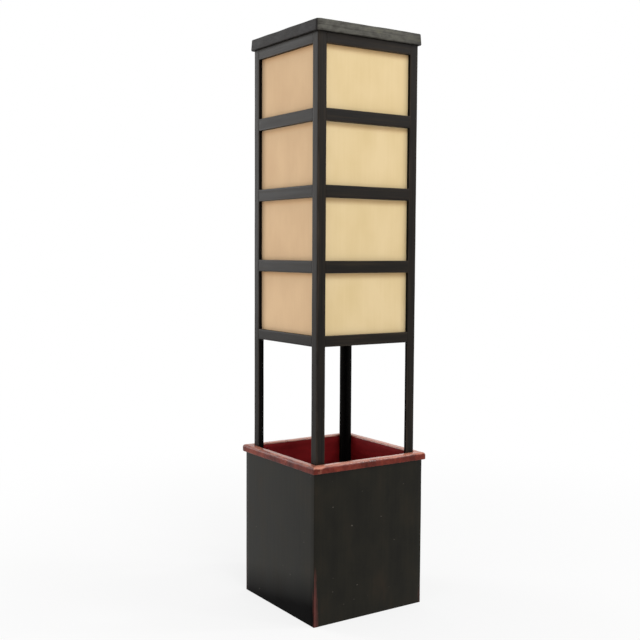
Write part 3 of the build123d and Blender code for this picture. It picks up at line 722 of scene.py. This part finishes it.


# ---- Paper -------------------------------------------------------------------------------------
# One sheet of mulberry paper on each side, glued behind the rails and the posts' arms. It is
# taut, with a slight waver in each window, and has aged to cream; the left sheet is painted a
# warmer tan: painted light, for the warmer light on that side.
def mulberry_paper(name, pale, dark):
    """Handmade mulberry paper: matt, faintly cloudy, with long soft fibres that run mostly upright,
    and painted browner under each rail: painted shade, where the rail's shadow falls. Real fibres
    are finer than the render shows, so these are drawn a few millimetres wide."""
    finish = bare(bpy.data.materials.new(name))
    place = add_node(finish, "ShaderNodeTexCoord").outputs["Object"]
    cloud_place = add_node(finish, "ShaderNodeMapping", {"Scale": pattern_size(80, 80, 120)},
                           {"Vector": place})
    clouds = add_node(finish, "ShaderNodeTexNoise", {"Scale": 1.0, "Detail": 2.0},
                      {"Vector": cloud_place.outputs[0]})
    fibre_place = add_node(finish, "ShaderNodeMapping", {"Scale": pattern_size(7, 7, 160)},
                           {"Vector": place})
    fibres = add_node(finish, "ShaderNodeTexNoise", {"Scale": 1.0, "Detail": 5.0, "Roughness": 0.6},
                      {"Vector": fibre_place.outputs[0]})
    tone = add_node(finish, "ShaderNodeMix", {"Factor": 0.22},
                    {"A": clouds.outputs["Fac"], "B": fibres.outputs["Fac"]})
    aged = add_node(finish, "ShaderNodeValToRGB", {"stops": [(0.35, dark), (0.65, pale)]},
                    {"Fac": tone.outputs[0]})
    paste = add_node(finish, "ShaderNodeAttribute", {"attribute_name": "paste"})
    # Painted shade: an orange-brown tint under each rail.
    rail_shaded = add_node(finish, "ShaderNodeMixRGB", {"Color2": linear("#cd8840")},
                      {"Fac": paste.outputs["Fac"], "Color1": aged.outputs["Color"]})
    relief = add_node(finish, "ShaderNodeBump", {"Strength": 1.0, "Distance": 0.04 * mm},
                      {"Height": fibres.outputs["Fac"]})
    skin = add_node(finish, "ShaderNodeBsdfPrincipled", {"Roughness": 0.9, "Specular IOR Level": 0.1},
                    {"Base Color": rail_shaded.outputs["Color"], "Normal": relief.outputs[0]})
    add_node(finish, "ShaderNodeOutputMaterial", links={"Surface": skin.outputs[0]})
    return finish


paper_low, paper_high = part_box("paper_front")
paper_grid = 6 * mm
paper_waver, paper_waver_size = 0.5 * mm, 60 * mm
sheets_apart = Vector((0, 0, 9))    # in the waver's noise, so that each sheet has its own
rail_shade_reach = 16 * mm
rail_shade_depth = 0.4
windows = [(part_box(f"rail_front_{row + 1}")[1].z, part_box(f"rail_front_{row}")[0].z)
           for row in range(1, 5)]
cream_paper = mulberry_paper("cream_mulberry_paper", "#e5cd9f", "#dec594")
# The left sheet's warmer tint is painted light.
warm_light_paper = mulberry_paper("warm_light_mulberry_paper", "#ecc99f", "#e5c198")

for turn, side in enumerate(sides):
    width, height = paper_high.x - paper_low.x, paper_high.z - paper_low.z
    paper = bmesh.new()
    paste = paper.verts.layers.float.new("paste")
    bmesh.ops.create_grid(paper, x_segments=round(width / paper_grid),
                          y_segments=round(height / paper_grid), size=0.5)
    bmesh.ops.scale(paper, vec=(width, height, 1), verts=paper.verts)
    bmesh.ops.rotate(paper, cent=(0, 0, 0), matrix=Matrix.Rotation(math.radians(90), 3, "X"),
                     verts=paper.verts)
    bmesh.ops.translate(paper, vec=(0, paper_low.y, (paper_low.z + paper_high.z) / 2), verts=paper.verts)
    for vert in paper.verts:
        across = max(0.0, 1 - (vert.co.x / rail_end) ** 4)
        for window_foot, window_head in windows:
            if window_foot < vert.co.z < window_head:
                up = math.sin(math.pi * (vert.co.z - window_foot) / (window_head - window_foot)) ** 0.5
                waver = 0.5 + noise.noise(vert.co / paper_waver_size + sheets_apart * turn)
                vert.co.y += waver * paper_waver * across * up
                # Painted shade under each rail, where its shadow falls.
                vert[paste] = rail_shade_depth * max(0.0, 1 - (window_head - vert.co.z) / rail_shade_reach)
    bmesh.ops.recalc_face_normals(paper, faces=paper.faces)
    bmesh.ops.solidify(paper, geom=paper.faces[:], thickness=paper_high.y - paper_low.y)
    turned(paper, turn)
    build_piece(f"mulberry_sheet_{side}", paper, [warm_light_paper if side == "left" else cream_paper], "tower",
                "washi_paper", f"paper_{side}")


# ---- Roof cap ----------------------------------------------------------------------------------
# A thick pine slab with softened corners and a low lip that laps the frame, stained like the
# frame but with its coarse grain left open. Four cleats under it, each held by two screws,
# keep it square on the lantern.
cap_low, cap_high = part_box("roof_cap")
cap_corner_round = 10 * mm
cap_edge_round = 2.5 * mm
cap_batter = 1.5 * mm
cap_lip, cap_lip_width, cap_lip_draft = 5 * mm, 6 * mm, 0.1 * mm
cap_grid = 11 * mm
cap_waver, cap_waver_size = 0.6 * mm, 45 * mm
# The cap's front face is painted paler: painted light, less towards the right end.
cap_front_light, cap_front_light_lost = 1.15, 0.9   # along the front, and what it loses towards the right end

# Thin grey-black stain on coarse open grain: ridged, with a dull broken sheen. The front face is
# painted paler and mottled with olive, fading towards its right end: painted light, for the brighter light
# on that face.
cap_stain = bare(bpy.data.materials.new("open_grain_black_stain"))
place = add_node(cap_stain, "ShaderNodeTexCoord").outputs["Object"]
grain_place = add_node(cap_stain, "ShaderNodeMapping", {"Scale": pattern_size(200, 14, 3.5)},
                       {"Vector": place})
grain = add_node(cap_stain, "ShaderNodeTexNoise", {"Scale": 1.0, "Detail": 5.0, "Roughness": 0.65},
                 {"Vector": grain_place.outputs[0]})
mottle_place = add_node(cap_stain, "ShaderNodeMapping", {"Scale": pattern_size(22, 22, 14)},
                        {"Vector": place})
mottle = add_node(cap_stain, "ShaderNodeTexNoise", {"Scale": 1.0, "Detail": 4.0, "Roughness": 0.6},
                  {"Vector": mottle_place.outputs[0]})
tone = add_node(cap_stain, "ShaderNodeMix", {"Factor": 0.5},
                {"A": grain.outputs["Fac"], "B": mottle.outputs["Fac"]})
stain = add_node(cap_stain, "ShaderNodeValToRGB",
                 {"stops": [(0.36, "#191718"), (0.47, "#282626"), (0.56, "#312f2e"), (0.66, "#3b3835")]},
                 {"Fac": tone.outputs[0]})
lit_stain = add_node(cap_stain, "ShaderNodeValToRGB",
                      {"stops": [(0.36, "#37352f"), (0.47, "#4e4c47"), (0.56, "#5c5b54"),
                                 (0.66, "#68654f")]},
                      {"Fac": tone.outputs[0]})
# Painted light on the cap's front face.
rub = add_node(cap_stain, "ShaderNodeAttribute", {"attribute_name": "rub"})
stain_with_painted_light = add_node(cap_stain, "ShaderNodeMixRGB", None,
                      {"Fac": rub.outputs["Fac"], "Color1": stain.outputs["Color"],
                       "Color2": lit_stain.outputs["Color"]})
sheen = add_node(cap_stain, "ShaderNodeMapRange",
                 {"From Min": 0.3, "From Max": 0.7, "To Min": 0.42, "To Max": 0.6},
                 {"Value": mottle.outputs["Fac"]})
relief = add_node(cap_stain, "ShaderNodeBump", {"Strength": 1.0, "Distance": 0.3 * mm},
                  {"Height": grain.outputs["Fac"]})
skin = add_node(cap_stain, "ShaderNodeBsdfPrincipled", {"Specular IOR Level": 0.085},
                {"Base Color": stain_with_painted_light.outputs["Color"], "Roughness": sheen.outputs[0],
                 "Normal": relief.outputs[0]})
add_node(cap_stain, "ShaderNodeOutputMaterial", links={"Surface": skin.outputs[0]})

cap = bmesh.new()
rub = cap.verts.layers.float.new("rub")
block(cap, cap_low, cap_high)
top_corners = [v for v in cap.verts if v.co.z > cap_low.z + near]
foot_corners = [v for v in cap.verts if v not in top_corners]
bmesh.ops.translate(cap, vec=(0, 0, -cap_lip), verts=foot_corners)
bmesh.ops.scale(cap, vec=(1 - cap_batter / cap_high.x, 1 - cap_batter / cap_high.y, 1), verts=top_corners)
ease(cap, [e for e in cap.edges if run(e, "z") > near], cap_corner_round, 6)
ease(cap, [e for e in cap.edges if run(e, "z") < near], cap_edge_round, 3)
underside = [f for f in cap.faces if all(v.co.z < cap_low.z - cap_lip + hair for v in f.verts)]
cap.normal_update()
bmesh.ops.inset_region(cap, faces=underside, thickness=cap_lip_width - cap_edge_round)
bmesh.ops.inset_region(cap, faces=underside, thickness=cap_lip_draft, depth=-cap_lip)
cut_across(cap, "X", cap_low.x, cap_high.x, cap_grid)
cut_across(cap, "Y", cap_low.y, cap_high.y, cap_grid)
# Painted light: the front face is paler, fading towards the right end.
for vert in cap.verts:
    if vert.co.y < cap_low.y + cap_corner_round / 2:
        vert[rub] = min(1.0, cap_front_light - cap_front_light_lost * max(0.0, vert.co.x / cap_high.x) ** 4)
handwork(cap, cap_waver, cap_waver_size)
build_piece("stained_cap", cap, [cap_stain], "roof", "cap_lacquer", "roof_cap")

cleat_screw_low, cleat_screw_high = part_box("cap_cleat_screws")
cleat_screw_length = cleat_screw_high.z - cleat_screw_low.z
cleat_screw_spacing = 140 * mm
cleat_line = cleat_screw_low.y + screw_head_radius
cleat_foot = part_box("cap_cleats")[0].z
cleat_screw_places = []
for turn in range(4):
    for sign in (-1, 1):
        slot_angle = 50 * turn + 23 * sign
        beside = sign * cleat_screw_spacing / 2
        cleat_screw_places.append(Matrix.Rotation(math.radians(90 * turn), 4, "Z")
                                  @ Matrix.Translation((beside, cleat_line, cleat_foot))
                                  @ Matrix.Rotation(math.radians(180), 4, "X")
                                  @ Matrix.Rotation(math.radians(slot_angle), 4, "Z"))
build_piece("slotted_cleat_screws", slotted_screws(cleat_screw_length, cleat_screw_places),
            [plated_steel], "roof", "screw_steel", "cap_cleat_screws")
finish_node("cap_cleats", bare_pine)


# ---- Lamp bar and lampholder -------------------------------------------------------------------
# A stained bar between the bottom rails carries a lampholder of spun brass on a threaded
# nipple, with a moulded switch body whose knob turns at the front.

# Spun brass: yellow metal with fine rings round it and a soft gloss.
spun_brass = bright_metal("spun_brass", (40, 40, 0.7), 2.0, "#b08d4c", "#c9a560", 0.28, 0.38)


def pressed_stuff(name, dark, pale, roughness, grit):
    """A moulded or pressed stuff of one colour: fine specks of the given grit, in millimetres."""
    finish = bare(bpy.data.materials.new(name))
    place = add_node(finish, "ShaderNodeTexCoord").outputs["Object"]
    speck_place = add_node(finish, "ShaderNodeMapping", {"Scale": pattern_size(grit, grit, grit)},
                           {"Vector": place})
    specks = add_node(finish, "ShaderNodeTexNoise", {"Scale": 1.0, "Detail": 3.0},
                      {"Vector": speck_place.outputs[0]})
    colour = add_node(finish, "ShaderNodeValToRGB", {"stops": [(0.3, dark), (0.7, pale)]},
                      {"Fac": specks.outputs["Fac"]})
    relief = add_node(finish, "ShaderNodeBump", {"Strength": 1.0, "Distance": 0.03 * mm},
                      {"Height": specks.outputs["Fac"]})
    skin = add_node(finish, "ShaderNodeBsdfPrincipled", {"Roughness": roughness},
                    {"Base Color": colour.outputs["Color"], "Normal": relief.outputs[0]})
    add_node(finish, "ShaderNodeOutputMaterial", links={"Surface": skin.outputs[0]})
    return finish


nipple_low, nipple_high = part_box("nipple")
nipple_radius = nipple_high.x
nipple_bore = 3.5 * mm
nipple_pitch = 1 * mm
nipple_thread_depth = 0.5 * mm
nipple_rows = 192                   # six to each turn of the thread
knob_low, knob_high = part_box("switch_knob")
knob_radius = knob_high.x
knob_flat_at = (knob_high.z - knob_low.z) / 2
knob_length = 13 * mm
knob_round, knob_ease = 1 * mm, 0.3 * mm
knob_rows = 8
knob_shaft_radius = 2 * mm
knob_flutes = 20
knob_flute_depth = 0.35 * mm


def screw_thread(shape, reach, low, high, pitch, depth):
    """Press a right-hand thread, with runouts, into the walls beyond a reach from the Z axis."""
    for vert in shape.verts:
        radius = vert.co.xy.length
        if radius > reach and low < vert.co.z < high:
            runout = min(1.0, (vert.co.z - low) / pitch, (high - vert.co.z) / pitch)
            turn = 2 * math.pi * vert.co.z / pitch - math.atan2(vert.co.y, vert.co.x)
            vert.co.xy *= 1 - runout * depth * (0.5 - 0.5 * math.cos(turn)) / radius


nipple_rise = (nipple_high.z - nipple_low.z) / nipple_rows
nipple = spun([(nipple_bore, nipple_low.z)]
              + [(nipple_radius, nipple_low.z + nipple_rise * row) for row in range(nipple_rows + 1)]
              + [(nipple_bore, nipple_high.z)], steps=24)
screw_thread(nipple, nipple_radius - hair, nipple_low.z, nipple_high.z, nipple_pitch, nipple_thread_depth)
build_piece("threaded_nipple", nipple, [plated_steel], "tower", "threaded_steel", "nipple")

knob_back = -knob_low.y - knob_length
grip = [(knob_radius, knob_back + (knob_length - knob_round) * row / knob_rows)
        for row in range(knob_rows + 1)]
knob = spun([(0, -knob_high.y), (knob_shaft_radius, -knob_high.y), (knob_shaft_radius, knob_back)] + grip
            + [(knob_radius - knob_ease, -knob_low.y - knob_ease), (knob_radius - knob_round, -knob_low.y),
               (0, -knob_low.y)], steps=6 * knob_flutes)
for vert in knob.verts:
    radius = vert.co.xy.length
    if radius > 2 * knob_shaft_radius:
        flute = 0.5 + 0.5 * math.cos(knob_flutes * math.atan2(vert.co.y, vert.co.x))
        vert.co.xy *= 1 - knob_flute_depth * flute / radius
        vert.co.y = max(-knob_flat_at, min(knob_flat_at, vert.co.y))
bmesh.ops.rotate(knob, cent=(0, 0, 0), matrix=Matrix.Rotation(math.radians(90), 3, "X"), verts=knob.verts)
bmesh.ops.translate(knob, vec=(0, 0, (knob_low.z + knob_high.z) / 2), verts=knob.verts)
knob_plastic = pressed_stuff("black_knob_plastic", "#141414", "#1c1c1c", 0.4, 0.5)
build_piece("fluted_knob", knob, [knob_plastic], "knob", "knob_plastic", "switch_knob")

finish_node("lamp_bar", crosswise_wood)
for node in ("holder_cap", "holder_shell", "screw_shell", "centre_contact"):
    finish_node(node, spun_brass)
finish_node("locknut", plated_steel)
finish_node("holder_liner", pressed_stuff("pressed_liner_board", "#6b4d33", "#7d5c3e", 0.85, 0.8))
finish_node("switch_body", pressed_stuff("phenolic_moulding", "#231812", "#2e2019", 0.45, 0.6))


# ---- Bulb --------------------------------------------------------------------------------------
# A globe frosted inside, with a screw cap of thin metal, a black glass insulator and a tinned
# contact.

# Glass etched inside: milky white with a smooth outer skin.
frosted_glass = bare(bpy.data.materials.new("frosted_bulb_glass"))
place = add_node(frosted_glass, "ShaderNodeTexCoord").outputs["Object"]
frost_place = add_node(frosted_glass, "ShaderNodeMapping", {"Scale": pattern_size(2, 2, 2)},
                       {"Vector": place})
frost = add_node(frosted_glass, "ShaderNodeTexNoise", {"Scale": 1.0, "Detail": 3.0},
                 {"Vector": frost_place.outputs[0]})
milk = add_node(frosted_glass, "ShaderNodeValToRGB", {"stops": [(0.3, "#efeee8"), (0.7, "#fbfaf6")]},
                {"Fac": frost.outputs["Fac"]})
skin = add_node(frosted_glass, "ShaderNodeBsdfPrincipled", {"Roughness": 0.35, "Transmission Weight": 0.5},
                {"Base Color": milk.outputs["Color"]})
add_node(frosted_glass, "ShaderNodeOutputMaterial", links={"Surface": skin.outputs[0]})

# Pressed aluminium: pale grey metal, bright, with faint rolling marks round it.
pressed_aluminium = bright_metal("pressed_aluminium", (30, 30, 0.8), 2.0, "#c2c2bf", "#d6d6d3", 0.25, 0.35)

# The cap is rolled sheet, so its thread shows inside and out.
bulb_cap_low, bulb_cap_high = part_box("bulb_cap")
bulb_cap_radius = bulb_cap_high.x
bulb_cap_wall = 0.4 * mm
bulb_cap_mouth = 10.55 * mm
bulb_cap_cone = 3 * mm
bulb_thread_pitch = 3.629 * mm
bulb_thread_depth = 0.9 * mm
bulb_thread_reach = [0.3 * mm, 11.5 * mm]       # of the thread above the cone, up to the glass neck
bulb_cap_rows = 44
cone_top = bulb_cap_low.z + bulb_cap_cone
wall = [cone_top + (bulb_cap_high.z - cone_top) * row / bulb_cap_rows for row in range(bulb_cap_rows + 1)]
bulb_cap = spun([(bulb_cap_mouth, bulb_cap_low.z), (bulb_cap_mouth + bulb_cap_wall, bulb_cap_low.z)]
                + [(bulb_cap_radius, z) for z in wall]
                + [(bulb_cap_radius - bulb_cap_wall, z) for z in reversed(wall)], steps=48)
screw_thread(bulb_cap, bulb_cap_mouth + bulb_cap_wall, cone_top + bulb_thread_reach[0],
             cone_top + bulb_thread_reach[1], bulb_thread_pitch, bulb_thread_depth)
build_piece("rolled_bulb_cap", bulb_cap, [pressed_aluminium], "bulb", "bulb_cap_metal", "bulb_cap")

finish_node("bulb_glass", frosted_glass)
finish_node("bulb_insulator", pressed_stuff("black_insulator_glass", "#0c0c0f", "#141418", 0.2, 1.0))
finish_node("bulb_contact", plated_steel)


# ---- Cord grommet ------------------------------------------------------------------------------
# A black rubber bush, moulded in one piece and pressed into the back wall, where it would
# keep the cord off the wood's edge.
finish_node("cord_grommet", pressed_stuff("black_rubber", "#121212", "#1b1b1b", 0.7, 0.7))
